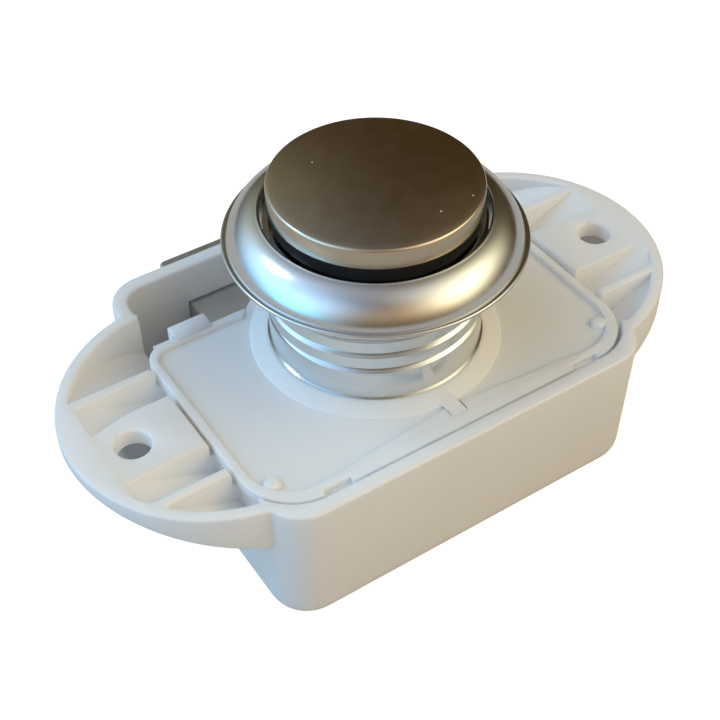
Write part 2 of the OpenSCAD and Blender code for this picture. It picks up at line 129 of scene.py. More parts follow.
class Bench:
    """Hand tools. Sizes and places are millimetres in the frame of the solids."""

    @staticmethod
    def clear() -> None:
        """Leaves every object deselected."""
        bpy.ops.object.select_all(action="DESELECT")

    @staticmethod
    def take(piece: Piece) -> None:
        """Selects one piece alone and makes it active.

        Args:
            piece: Piece to select.
        """
        Bench.clear()
        piece.select_set(True)
        bpy.context.view_layer.objects.active = piece

    @staticmethod
    def settle(name: str) -> Piece:
        """Names the active object and puts its place into its mesh.

        Args:
            name: Name of the piece.

        Returns:
            The piece, at the origin, unturned and unscaled.
        """
        piece = bpy.context.active_object
        bpy.ops.object.transform_apply(location=True, rotation=True, scale=True)
        piece.name = name
        piece.data.name = name
        return piece

    @staticmethod
    @contextmanager
    def editing(piece: Piece, kind: Pick = Pick.EDGES) -> Iterator[None]:
        """Opens a piece in edit mode with nothing selected.

        Args:
            piece: Piece to edit.
            kind: What is selected there.

        Yields:
            Nothing, while the piece is open.
        """
        Bench.take(piece)
        bpy.ops.object.mode_set(mode="EDIT")
        bpy.ops.mesh.select_mode(type=kind.value)
        bpy.ops.mesh.select_all(action="DESELECT")
        yield
        bpy.ops.object.mode_set(mode="OBJECT")

    @staticmethod
    def everything() -> None:
        """Selects the whole mesh under edit."""
        bpy.ops.mesh.select_all(action="SELECT")

    @staticmethod
    def outward() -> None:
        """Turns all faces of the mesh under edit outward."""
        Bench.everything()
        bpy.ops.mesh.normals_make_consistent(inside=False)

    @staticmethod
    def pick(piece: Piece, kind: Pick, test: Callable[..., bool]) -> None:
        """Selects the points or edges of the mesh under edit that pass a test.

        Args:
            piece: Piece under edit.
            kind: Points or edges.
            test: Says whether one of them is selected.
        """
        mesh = bmesh.from_edit_mesh(piece.data)
        mesh.normal_update()
        for item in mesh.edges if kind is Pick.EDGES else mesh.verts:
            item.select_set(test(item))
        mesh.select_flush_mode()
        bmesh.update_edit_mesh(piece.data)

    @staticmethod
    def block(name: str, low: Corner, high: Corner) -> Piece:
        """Adds a box between two corners.

        Args:
            name: Name of the piece.
            low: Lowest corner.
            high: Highest corner.

        Returns:
            The box.
        """
        Bench.clear()
        bpy.ops.mesh.primitive_cube_add(
            size=1.0,
            location=[(a + b) / 2 * MM for a, b in zip(low, high)],
            scale=[(b - a) * MM for a, b in zip(low, high)],
        )
        return Bench.settle(name)

    @staticmethod
    def rod(name: str, radius: float, start: Corner, length: float,
            axis: Axis = Axis.ALONG_Z, sides: Round = Round.ROD) -> Piece:
        """Adds a round rod.

        Args:
            name: Name of the piece.
            radius: Radius of the rod.
            start: Centre of its first end.
            length: Length from there, along the axis.
            axis: Direction of the rod.
            sides: Facets round it.

        Returns:
            The rod.
        """
        middle = Vector(start)
        middle[2 if axis is Axis.ALONG_Z else 1] += length / 2
        Bench.clear()
        bpy.ops.mesh.primitive_cylinder_add(
            vertices=sides.value, radius=radius * MM, depth=length * MM,
            location=middle * MM, rotation=axis.value,
        )
        return Bench.settle(name)

    @staticmethod
    def prism(name: str, outline: Profile, x_low: float, x_high: float) -> Piece:
        """Draws an outline in Y and Z and extrudes it along X.

        Args:
            name: Name of the piece.
            outline: Corners as (y, z), in order round the outline.
            x_low: Start of the prism.
            x_high: End of the prism.

        Returns:
            The closed prism.
        """
        piece = Bench.line(name, [(x_low, y, z) for y, z in outline])
        with Bench.editing(piece):
            Bench.everything()
            bpy.ops.mesh.edge_face_add()
            bpy.ops.mesh.extrude_region_move(
                TRANSFORM_OT_translate={"value": ((x_high - x_low) * MM, 0, 0)})
            Bench.outward()
        return piece

    @staticmethod
    def line(name: str, points: Sequence[Corner]) -> Piece:
        """Draws an open line of points by extruding one vertex.

        Args:
            name: Name of the piece.
            points: Points in order.

        Returns:
            The line.
        """
        Bench.clear()
        bpy.ops.mesh.primitive_plane_add(size=MM, location=Vector(points[0]) * MM)
        piece = Bench.settle(name)
        with Bench.editing(piece, Pick.POINTS):
            Bench.everything()
            bpy.ops.mesh.merge(type="CENTER")
            for here, there in zip(points, points[1:]):
                step = (Vector(there) - Vector(here)) * MM
                bpy.ops.mesh.extrude_vertices_move(TRANSFORM_OT_translate={"value": step})
        return piece

    @staticmethod
    def lathe(name: str, profile: Profile, sides: Round = Round.TUBE) -> Piece:
        """Spins a profile round the barrel axis.

        Args:
            name: Name of the piece.
            profile: Points as (radius, z). A closed ring repeats its first point.
            sides: Facets round the axis.

        Returns:
            The turned solid.
        """
        piece = Bench.line(name, [(radius, 0, z) for radius, z in profile])
        with Bench.editing(piece, Pick.POINTS):
            Bench.everything()
            bpy.ops.mesh.spin(steps=sides.value, angle=FULL_TURN, center=(0, 0, 0), axis=(0, 0, 1))
            Bench.everything()
            bpy.ops.mesh.remove_doubles(threshold=WELD)
            Bench.outward()
        return piece

    @staticmethod
    def trim(piece: Piece, point: Corner, normal: Corner, keep: Side) -> None:
        """Cuts a piece with a plane and closes the cut.

        Args:
            piece: Piece to cut.
            point: Point on the plane.
            normal: Normal of the plane.
            keep: Side that stays.
        """
        with Bench.editing(piece):
            Bench.everything()
            bpy.ops.mesh.bisect(
                plane_co=Vector(point) * MM, plane_no=Vector(normal).normalized(), use_fill=True,
                clear_inner=keep is Side.FRONT, clear_outer=keep is Side.BEHIND, threshold=TINY)
            Bench.outward()

    @staticmethod
    def ease(piece: Piece, test: EdgeTest, radius: float, curve: Curve = Curve.SMALL) -> None:
        """Rounds the edges that pass a test.

        Args:
            piece: Piece to work on.
            test: Says whether an edge is rounded.
            radius: Radius of the rounding.
            curve: Facets across it.
        """
        with Bench.editing(piece):
            Bench.pick(piece, Pick.EDGES, lambda e: len(e.link_faces) == 2 and test(e))
            bpy.ops.mesh.bevel(offset=radius * MM, segments=curve.value, affect="EDGES",
                               clamp_overlap=False)

    @staticmethod
    def combine(piece: Piece, others: Sequence[Piece], how: Join) -> None:
        """Adds solids to a piece or cuts them out of it, one by one, and uses them up.

        Args:
            piece: Piece that stays.
            others: Solids that are joined to it or cut it.
            how: What is done.
        """
        for other in others:
            Bench.take(piece)
            bpy.ops.object.modifier_add(type="BOOLEAN")
            tool = piece.modifiers[-1]
            tool.operation = how.value
            tool.solver = "EXACT"
            tool.object = other
            bpy.ops.object.modifier_apply(modifier=tool.name)
            bpy.data.objects.remove(other)

    @staticmethod
    def group(name: str, parts: Sequence[Piece]) -> Piece:
        """Joins loose solids into one object.

        Args:
            name: Name of the piece.
            parts: Solids that become one object.

        Returns:
            The joined object.
        """
        Bench.take(parts[0])
        for part in parts:
            part.select_set(True)
        bpy.ops.object.join()
        parts[0].name = name
        return parts[0]

    @staticmethod
    def mirrored(piece: Piece) -> Piece:
        """Copies a piece to the other side of the YZ plane.

        Args:
            piece: Piece on one side.

        Returns:
            The mirrored copy, with its own mesh.
        """
        Bench.take(piece)
        bpy.ops.object.duplicate()
        copy = bpy.context.active_object
        copy.scale.x = -1.0
        bpy.ops.object.transform_apply(location=False, rotation=False, scale=True)
        with Bench.editing(copy, Pick.FACES):
            Bench.outward()
        return copy

    @staticmethod
    def finish(piece: Piece) -> None:
        """Cleans the mesh and shades it smooth up to its real edges.

        Args:
            piece: Modelled piece.
        """
        with Bench.editing(piece, Pick.POINTS):
            Bench.everything()
            bpy.ops.mesh.remove_doubles(threshold=CLEAN_WELD)
            bpy.ops.mesh.dissolve_degenerate(threshold=CLEAN_WELD)
            bpy.ops.mesh.delete_loose()
        Bench.take(piece)
        bpy.ops.object.shade_smooth_by_angle(angle=SMOOTH_ANGLE)


def sharp(edge: bmesh.types.BMEdge) -> bool:
    """Says whether an edge is an outer corner of the solid."""
    return edge.calc_face_angle_signed(0.0) > CORNER_ANGLE


def upright(edge: bmesh.types.BMEdge) -> bool:
    """Says whether an edge runs along Z."""
    step = edge.verts[1].co - edge.verts[0].co
    return abs(step.z) > STRAIGHT * step.length


def level(edge: bmesh.types.BMEdge, z: float) -> bool:
    """Says whether both ends of an edge lie at a height in millimetres."""
    return all(abs(vert.co.z - z * MM) < LEVEL for vert in edge.verts)


def middle_of(edge: bmesh.types.BMEdge) -> Vector:
    """Gives the middle of an edge in millimetres."""
    return (edge.verts[0].co + edge.verts[1].co) / (2 * MM)


def arc(centre: Pair, radius: float, start: float, end: float, count: int) -> Profile:
    """Lists points along an arc of a profile.

    Args:
        centre: Centre as (radius, z).
        radius: Radius of the arc.
        start: First angle in degrees, from the outward direction.
        end: Last angle in degrees.
        count: Number of steps.

    Returns:
        The points, both ends included.
    """
    angles = [math.radians(start + (end - start) * i / count) for i in range(count + 1)]
    return [(centre[0] + radius * math.cos(a), centre[1] + radius * math.sin(a)) for a in angles]


def rounded_plate(name: str, half_width: float, y: Pair, z: Pair,
                  front_radius: float, rear_radius: float) -> Piece:
    """Makes a plate with one corner radius at the front and another at the rear.

    Args:
        name: Name of the piece.
        half_width: Half of the width along X.
        y: Front and rear edge.
        z: Bottom and top.
        front_radius: Radius of the two front corners.
        rear_radius: Radius of the two rear corners.

    Returns:
        The plate.
    """
    plate = Bench.block(name, (-half_width, y[0], z[0]), (half_width, y[1], z[1]))
    middle = (y[0] + y[1]) / 2
    Bench.ease(plate, lambda e: upright(e) and middle_of(e).y < middle, front_radius, Curve.CORNER)
    Bench.ease(plate, lambda e: upright(e) and sharp(e) and middle_of(e).y > middle,
               rear_radius, Curve.CORNER)
    return plate


class Nodes:
    """Node tree under work."""

    def __init__(self, tree: bpy.types.NodeTree) -> None:
        """Takes the tree of a material or of the surroundings."""
        self.tree = tree

    def add(self, kind: str, **values: object) -> bpy.types.Node:
        """Adds a node and sets its properties.

        Args:
            kind: Type of the node.
            values: Properties of the node.

        Returns:
            The node.
        """
        node = self.tree.nodes.new(kind)
        for key, value in values.items():
            setattr(node, key, value)
        return node

    def link(self, source: Socket, target: Socket) -> None:
        """Joins two sockets."""
        self.tree.links.new(source, target)

    def feed(self, kind: str, *sources: Socket, **values: object) -> bpy.types.Node:
        """Adds a node and links its first inputs.

        Args:
            kind: Type of the node.
            sources: Sockets for its inputs, in order.
            values: Properties of the node.

        Returns:
            The node.
        """
        node = self.add(kind, **values)
        for source, target in zip(sources, node.inputs):
            self.link(source, target)
        return node


class Wiring(Nodes):
    """Node tree of one material, on the coordinates of the object."""

    def __init__(self, name: str) -> None:
        """Makes the material and its shader.

        Args:
            name: Name of the material.
        """
        self.material = bpy.data.materials.new(name)
        self.material.use_nodes = True
        super().__init__(self.material.node_tree)
        self.shader = self.tree.nodes["Principled BSDF"]
        self.place = self.add("ShaderNodeTexCoord").outputs["Object"]

    def give(self, value: Socket, target: str) -> None:
        """Links a value to an input of the shader."""
        self.link(value, self.shader.inputs[target])

    def set(self, target: str, value: float | Sequence[float]) -> None:
        """Sets an input of the shader."""
        self.shader.inputs[target].default_value = value

    def noise(self, pattern: Pair, place: Socket | None = None) -> Socket:
        """Adds a noise pattern.

        Args:
            pattern: Cells per metre and number of finer layers.
            place: Coordinates, those of the object if left out.

        Returns:
            The value between 0 and 1.
        """
        node = self.add("ShaderNodeTexNoise")
        node.inputs["Scale"].default_value, node.inputs["Detail"].default_value = pattern
        self.link(place or self.place, node.inputs["Vector"])
        return node.outputs["Fac"]

    def span(self, value: Socket, low: float, high: float,
             start: float = 0.3, end: float = 0.7) -> Socket:
        """Maps a pattern to a range.

        Args:
            value: Pattern to map.
            low: Result at the start.
            high: Result at the end.
            start: Pattern value that gives the low result.
            end: Pattern value that gives the high result.

        Returns:
            The mapped value.
        """
        node = self.feed("ShaderNodeMapRange", value)
        limits = {"From Min": start, "From Max": end, "To Min": low, "To Max": high}
        for key, number in limits.items():
            node.inputs[key].default_value = number
        return node.outputs["Result"]

    def tint(self, value: Socket, first: Colour | Socket, second: Colour | Socket) -> Socket:
        """Mixes two colours by a pattern.

        Args:
            value: Pattern between 0 and 1.
            first: Colour at 0.
            second: Colour at 1.

        Returns:
            The mixed colour.
        """
        node = self.add("ShaderNodeMix", data_type="RGBA")
        ends = [socket for socket in node.inputs if socket.type == "RGBA"]
        for end, colour in zip(ends, (first, second)):
            if isinstance(colour, Socket):
                self.link(colour, end)
            else:
                end.default_value = (*colour, 1.0)
        self.link(value, node.inputs["Factor"])
        return next(socket for socket in node.outputs if socket.type == "RGBA")

    def turned(self) -> Socket:
        """Gives coordinates that follow the turning round the barrel axis.

        Returns:
            Coordinates made of the distance from the axis and the height.
        """
        flat = self.feed("ShaderNodeVectorMath", self.place, operation="MULTIPLY")
        flat.inputs[1].default_value = (1.0, 1.0, 0.0)
        length = self.feed("ShaderNodeVectorMath", flat.outputs["Vector"], operation="LENGTH")
        parts = self.feed("ShaderNodeSeparateXYZ", self.place)
        pair = self.feed("ShaderNodeCombineXYZ", length.outputs["Value"], parts.outputs["Z"])
        return pair.outputs["Vector"]

    def bump(self, height: Socket, depth: float, strength: float) -> None:
        """Raises the surface by a pattern.

        Args:
            height: Pattern between 0 and 1.
            depth: Height in millimetres.
            strength: Share of it that shows.
        """
        node = self.add("ShaderNodeBump")
        node.inputs["Distance"].default_value = depth * MM
        node.inputs["Strength"].default_value = strength
        self.link(height, node.inputs["Height"])
        self.give(node.outputs["Normal"], "Normal")


@dataclass(frozen=True)
class Recipe:
    """Colour and gloss of a finish. Gloss is the range of its roughness."""

    name: str
    colour: Colour
    shade: Colour
    gloss: Pair

    def tone(self, wires: Wiring, clouds: Pair) -> Socket:
        """Mottles the two colours of the finish with clouds of noise."""
        return wires.tint(wires.span(wires.noise(clouds), 0, 1), self.shade, self.colour)

    def polish(self, wires: Wiring, haze: Pair) -> None:
        """Varies the roughness with a haze of noise."""
        wires.give(wires.span(wires.noise(haze), *self.gloss), "Roughness")


@dataclass(frozen=True)
class MouldedPlastic(Recipe):
    """Injection-moulded plastic with a faint mottle and a fine mould texture."""

    glow: float = 0.0
    glow_depth: float = 1.2
    glow_colour: Colour = (1.0, 0.85, 0.75)
    clouds: Pair = (55, 4)
    haze: Pair = (320, 5)
    grain: Pair = (3500, 2)
    depth: float = 0.012
    strength: float = 0.35
    ior: float = 1.48

    def material(self) -> bpy.types.Material:
        """Builds the finish.

        Returns:
            The material.
        """
        wires = Wiring(self.name)
        wires.give(self.tone(wires, self.clouds), "Base Color")
        self.polish(wires, self.haze)
        wires.bump(wires.noise(self.grain), self.depth, self.strength)
        wires.set("IOR", self.ior)
        if self.glow:
            wires.set("Subsurface Weight", self.glow)
            wires.set("Subsurface Radius", self.glow_colour)
            wires.set("Subsurface Scale", self.glow_depth * MM)
        return wires.material


@dataclass(frozen=True)
class TurnedMetal(Recipe):
    """Satin plated metal with the fine rings of the lathe and a few specks of dust."""

    dust: float = 0.0
    dust_colour: Colour = (0.8, 0.76, 0.7)
    dust_shine: float = 0.2
    dust_cells: float = 420
    dust_size: Pair = (0.03, 0.06)
    dust_fade: float = 0.01
    clouds: Pair = (70, 4)
    haze: Pair = (450, 5)
    rings: Pair = (4000, 3)
    depth: float = 0.0004
    strength: float = 0.5

    def material(self) -> bpy.types.Material:
        """Builds the finish.

        Returns:
            The material.
        """
        wires = Wiring(self.name)
        tone = self.tone(wires, self.clouds)
        self.polish(wires, self.haze)
        wires.bump(wires.noise(self.rings, wires.turned()), self.depth, self.strength)
        wires.set("Metallic", 1.0)
        if self.dust:
            speck = self.specks(wires)
            tone = wires.tint(speck, tone, self.dust_colour)
            wires.give(wires.span(speck, 1.0, self.dust_shine, 0.0, 1.0), "Metallic")
        wires.give(tone, "Base Color")
        return wires.material

    def specks(self, wires: Wiring) -> Socket:
        """Scatters dust over the surface.

        Args:
            wires: Node tree that gets the pattern.

        Returns:
            Mask that is 1 on a speck.
        """
        cells = wires.feed("ShaderNodeTexVoronoi", wires.place, voronoi_dimensions="2D")
        cells.inputs["Scale"].default_value = self.dust_cells
        near = wires.span(cells.outputs["Distance"], 1.0, 0.0, *self.dust_size)
        draw = wires.feed("ShaderNodeSeparateColor", cells.outputs["Color"])
        chosen = wires.span(draw.outputs["Red"], 1.0, 0.0, self.dust, self.dust + self.dust_fade)
        return wires.feed("ShaderNodeMath", near, chosen, operation="MULTIPLY").outputs["Value"]


@dataclass(frozen=True)
class CastMetal(Recipe):
    """Cast or drawn metal with a cloudy, slightly rough skin."""

    clouds: Pair = (160, 5)
    haze: Pair = (600, 4)
    skin: Pair = (900, 4)
    depth: float = 0.012
    strength: float = 0.5

    def material(self) -> bpy.types.Material:
        """Builds the finish.

        Returns:
            The material.
        """
        wires = Wiring(self.name)
        wires.give(self.tone(wires, self.clouds), "Base Color")
        self.polish(wires, self.haze)
        wires.bump(wires.noise(self.skin), self.depth, self.strength)
        wires.set("Metallic", 1.0)
        return wires.material


class Finish(Enum):
    """Finishes of the lock, by the material slot of the record."""

    WHITE = ("white_plastic", MouldedPlastic(
        "moulded_white", (0.93, 0.925, 0.92), (0.90, 0.895, 0.89), (0.28, 0.40),
        glow=0.4, glow_depth=1.6))
    SILVER = ("satin_silver", TurnedMetal(
        "plated_silver", (0.73, 0.74, 0.74), (0.67, 0.68, 0.68), (0.16, 0.23)))
    # Nickel colour made browner than the metal: partly its own warm tint, partly a painted
    # reflection of a dark brown room.
    NICKEL = ("satin_nickel", TurnedMetal(
        "nickel_with_painted_reflection", (0.64, 0.545, 0.43), (0.585, 0.50, 0.395), (0.18, 0.25), dust=0.06))
    BLACK = ("black_plastic", MouldedPlastic(
        "matt_black", (0.014, 0.014, 0.015), (0.01, 0.01, 0.011), (0.42, 0.58)))
    NATURAL = ("natural_plastic", MouldedPlastic(
        "natural_nylon", (0.78, 0.76, 0.70), (0.72, 0.70, 0.63), (0.40, 0.52), glow=0.1))
    STEEL = ("steel", CastMetal(
        "spring_steel", (0.62, 0.61, 0.60), (0.52, 0.51, 0.50), (0.22, 0.34), depth=0.004))
    ZINC = ("grey_zinc", CastMetal(
        "cast_zinc", (0.70, 0.70, 0.69), (0.60, 0.60, 0.59), (0.34, 0.5)))

    @property
    def slot(self) -> str:
        """Name of the slot in the record."""
        return self.value[0]

    def material(self) -> bpy.types.Material:
        """Gives the finish, built at its first use."""
        recipe = self.value[1]
        return bpy.data.materials.get(recipe.name) or recipe.material()


def dress(piece: Piece, finish: Finish) -> None:
    """Gives a whole piece its finish."""
    piece.data.materials.clear()
    piece.data.materials.append(finish.material())


def fit(piece: Piece, node: str, body: str, finish: Finish) -> None:
    """Finishes a new piece and puts it in the place of a solid.

    Args:
        piece: Modelled piece.
        node: Solid that the piece stands for.
        body: Moving body that it rides on.
        finish: Finish of the piece.
    """
    Bench.finish(piece)
    dress(piece, finish)
    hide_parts(node)
    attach(piece, body)
    LOG.info("%s: %d faces, on %s", piece.name, len(piece.data.polygons), body)


@dataclass
class Case:
    """Moulded tub with its two screw ears."""

    half_width: float = 26.0
    front: float = -22.0
    rear: float = 24.2
    depth: float = 19.0
    wall: float = 2.0
    corner: float = 5.0
    foot: float = 2.4
    draft: float = 0.2
    draft_top: float = -1.0
    stock: float = 0.3
    edge: float = 0.35
    rim_weld: float = 0.15

    ear_radius: float = 18.8
    ear_tip: float = 41.0
    ear_root_depth: float = 6.3
    ear_tip_depth: float = 1.5
    ear_floor: float = 1.2
    ear_fade: float = 3.5
    rim: float = 1.6
    rib: float = 1.3
    rib_offset: float = 9.3
    pocket_corner: float = 0.5

    pad: float = 9.6
    pad_sweep: float = 25.0
    pad_thickness: float = 2.2
    pad_inward: float = 4.0
    pad_low: float = 2.0
    pad_high: float = 3.0
    screw: Pair = (33.85, -1.6)
    screw_radius: float = 2.1
    head_radius: float = 4.1

    recess_half_width: float = 26.8
    recess_rear: float = 12.05
    recess_floor: float = -2.1
    recess_corner: float = 7.5
    recess_rear_corner: float = 3.0
    window_half: float = 14.8
    window_z: Pair = (-14.2, -5.8)

    cross_x: float = 18.0
    cross_y: Pair = (12.05, 13.45)
    hook_x: Pair = (16.8, 21.8)
    hook_top: float = 12.35
    hook_tip: Pair = (10.9, -0.45)
    hook_root: float = -1.0
    hook_edge: float = 0.2
    guide_x: Pair = (17.3, 18.7)
    guide_rear: float = 12.8
    guide_top: float = -10.0
    runner_x: Pair = (14.0, 16.7)
    runner_top: float = -14.1
    peg_radius: float = 0.6
    peg_length: float = 5.0
    spigot_radius: float = 4.7
    spigot_height: float = 2.5
    boss_y: float = -13.5
    boss_radius: float = 2.1
    boss_height: float = 4.0
    wire_radius: float = 0.5
    wire_bottom: float = -16.5
    wire_depth: float = 4.0

    def build(self) -> Piece:
        """Models the case.

        Returns:
            The finished piece.
        """
        shell = self.tub()
        ear = self.ear()
        Bench.combine(shell, [Bench.mirrored(ear), ear], Join.ADD)
        Bench.trim(shell, (0, 0, 0), (0, 0, 1), Side.BEHIND)
        Bench.combine(shell, self.cutters(), Join.CUT)
        Bench.combine(shell, self.inside(), Join.ADD)
        Bench.combine(shell, self.screw_holes(), Join.CUT)
        self.clean_rim(shell)
        Bench.ease(shell, lambda e: sharp(e) and level(e, 0.0), self.edge)
        fit(shell, "case_body", "case", Finish.WHITE)
        return shell

    def clean_rim(self, shell: Piece) -> None:
        """Merges the points of the rim that lie too close for a rounded edge.

        Args:
            shell: Case with all its cuts.
        """
        with Bench.editing(shell, Pick.POINTS):
            Bench.pick(shell, Pick.POINTS, lambda v: abs(v.co.z) < WELD)
            bpy.ops.mesh.remove_doubles(threshold=self.rim_weld * MM)

    def tub(self) -> Piece:
        """Makes the outside of the tub, leaning in towards its rounded foot.

        Returns:
            The solid tub, with stock on top.
        """
        tub = rounded_plate("case_shell", self.half_width, (self.front, self.rear),
                            (-self.depth, self.stock), self.corner, self.corner)
        Bench.ease(tub, lambda e: sharp(e) and level(e, -self.depth), self.foot, Curve.LARGE)
        middle = (self.front + self.rear) / 2
        shrink = [1 - self.draft / self.half_width, 1 - self.draft / (self.rear - middle), 1]
        with Bench.editing(tub, Pick.POINTS):
            Bench.pick(tub, Pick.POINTS, lambda v: v.co.z < self.draft_top * MM)
            bpy.ops.transform.resize(value=shrink, center_override=(0, middle * MM, 0))
        return tub

    def slope(self) -> Corner:
        """Gives the upward normal of the underside of the right ear."""
        rise = self.ear_root_depth - self.ear_tip_depth
        return (-rise, 0.0, self.ear_tip - self.half_width)

    def ear(self) -> Piece:
        """Makes the right ear.

        Returns:
            A solid half disc with a sloping underside.
        """
        centre = self.ear_tip - self.ear_radius
        ear = Bench.rod("ear", self.ear_radius, (centre, 0, -self.ear_root_depth),
                        self.ear_root_depth + self.stock, sides=Round.EAR)
        Bench.trim(ear, (self.half_width - self.wall / 2, 0, 0), (1, 0, 0), Side.FRONT)
        Bench.trim(ear, (self.half_width, 0, -self.ear_root_depth), self.slope(), Side.FRONT)
        return ear

    def pocket(self, x: float, y: Pair) -> Piece:
        """Makes the cutter of one pocket of the right ear.

        Args:
            x: Inner end of the pocket.
            y: Front and rear wall of the pocket.

        Returns:
            The cutter.
        """
        centre = self.ear_tip - self.ear_radius
        cutter = Bench.rod("pocket", self.ear_radius - self.rim, (centre, 0, -self.ear_root_depth),
                           self.ear_root_depth + PAST, sides=Round.EAR)
        Bench.trim(cutter, (x, 0, 0), (1, 0, 0), Side.FRONT)
        Bench.trim(cutter, (0, y[0], 0), (0, 1, 0), Side.FRONT)
        Bench.trim(cutter, (0, y[1], 0), (0, 1, 0), Side.BEHIND)
        drop = self.ear_root_depth - self.ear_floor
        run = self.ear_tip - self.ear_fade - self.half_width
        Bench.trim(cutter, (self.half_width, 0, -drop), (-drop, 0, run), Side.FRONT)
        if y[0] < self.pad_rear() < y[1]:
            Bench.combine(cutter, self.pad_solid(), Join.CUT)
        Bench.ease(cutter, lambda e: upright(e) and sharp(e), self.pocket_corner)
        return cutter

    def pad_rear(self) -> float:
        """Gives the place of the straight stretch of the pad's rear edge."""
        return self.screw[1] + self.pad / 2

    def pad_solid(self) -> list[Piece]:
        """Makes the screw pad, whose rear edge bends in past the screw head.

        Returns:
            The straight stretch and the round stretch of the pad.
        """
        bend, rear = self.screw[0] - self.head_radius, self.pad_rear()
        low, high = -self.ear_root_depth - self.pad_low, self.pad_high
        inner = self.half_width - self.pad_inward
        straight = Bench.block("pad_straight", (inner, self.screw[1], low), (bend, rear, high))
        swept = Bench.rod("pad_swept", self.pad_sweep, (bend, rear - self.pad_sweep, low),
                          high - low, sides=Round.SWEEP)
        return [straight, swept]

    def cutters(self) -> list[Piece]:
        """Makes all that is cut out of the case from above and behind.

        Returns:
            The cutters in order.
        """
        inner, front = self.half_width - self.wall, self.front + self.wall
        rear, screw_y, far = self.rear - self.wall, self.screw[1], self.ear_radius
        cavity = rounded_plate("cavity", inner, (front, rear), (self.wall - self.depth, PAST),
                               self.recess_corner - self.wall, self.corner - self.wall)
        recess = rounded_plate("recess", self.recess_half_width, (front, self.recess_rear),
                               (self.recess_floor, PAST), self.recess_corner,
                               self.recess_rear_corner)
        half_rib, half_pad = self.rib / 2, self.pad / 2
        spans = [
            (inner - INTO, (screw_y + self.rib_offset + half_rib, far)),
            (self.half_width, (screw_y + half_pad / 2, screw_y + self.rib_offset - half_rib)),
            (self.half_width, (screw_y - self.rib_offset + half_rib, screw_y - half_pad)),
            (self.half_width, (-far, screw_y - self.rib_offset - half_rib)),
        ]
        right = Bench.group("pockets", [self.pocket(x, y) for x, y in spans])
        left = Bench.mirrored(right)
        low, high = self.window_z
        window = Bench.block("window", (-self.window_half, rear - PAST, low),
                             (self.window_half, self.rear + PAST, high))
        return [cavity, recess, right, left, window]

    def inside(self) -> list[Piece]:
        """Makes the hooks, guides, runners, pegs and bosses inside the tub.

        Returns:
            The solids that are added to the case.
        """
        floor = self.wall - self.depth - INTO
        front = self.front + self.wall - INTO
        inner = self.half_width - self.wall + INTO
        near, far = self.cross_y
        root = self.recess_floor - INTO
        cross = Bench.block("cross_wall", (self.cross_x, near, floor),
                            (inner, far, self.recess_floor))
        outline = [(near, root), (far, root), (far, 0.0), (self.hook_top, 0.0),
                   self.hook_tip, (near, self.hook_tip[1])]
        hook = Bench.prism("hook", outline, *self.hook_x)
        Bench.ease(hook, lambda e: sharp(e) and middle_of(e).z > self.hook_root,
                   self.hook_edge, Curve.TRACE)
        guide = Bench.block("guide", (self.guide_x[0], front, floor),
                            (self.guide_x[1], self.guide_rear, self.guide_top))
        runner = Bench.block("runner", (self.runner_x[0], front, floor),
                             (self.runner_x[1], self.rear - self.wall + INTO, self.runner_top))
        peg = Bench.rod("peg", self.peg_radius, (SPRING_AT[0], front, SPRING_AT[1]),
                        self.peg_length, Axis.ALONG_Y, Round.WIRE)
        right = [cross, hook, guide, runner, peg]
        both = right + [Bench.mirrored(part) for part in right]
        spigot = Bench.rod("spigot", self.spigot_radius, (0, 0, floor), self.spigot_height + INTO)
        boss = Bench.rod("boss", self.boss_radius, (0, self.boss_y, floor),
                         self.boss_height + INTO, sides=Round.PIN)
        return both + [spigot, boss]

    def screw_holes(self) -> list[Piece]:
        """Makes the cutters of the screw holes and of the hole for the catch wire.

        Returns:
            The cutters.
        """
        x, y = self.screw
        low = -self.ear_root_depth - PAST
        hole = Bench.rod("hole", self.screw_radius, (x, y, low), PAST - low, sides=Round.SCREW)
        head = Bench.rod("head", self.head_radius, (x, y, low), -low - self.pad_thickness,
                         sides=Round.SCREW)
        wire = Bench.rod("wire_hole", self.wire_radius, (0, self.boss_y, self.wire_bottom),
                         self.wire_depth, sides=Round.WIRE)
        return [hole, head, Bench.mirrored(hole), Bench.mirrored(head), wire]


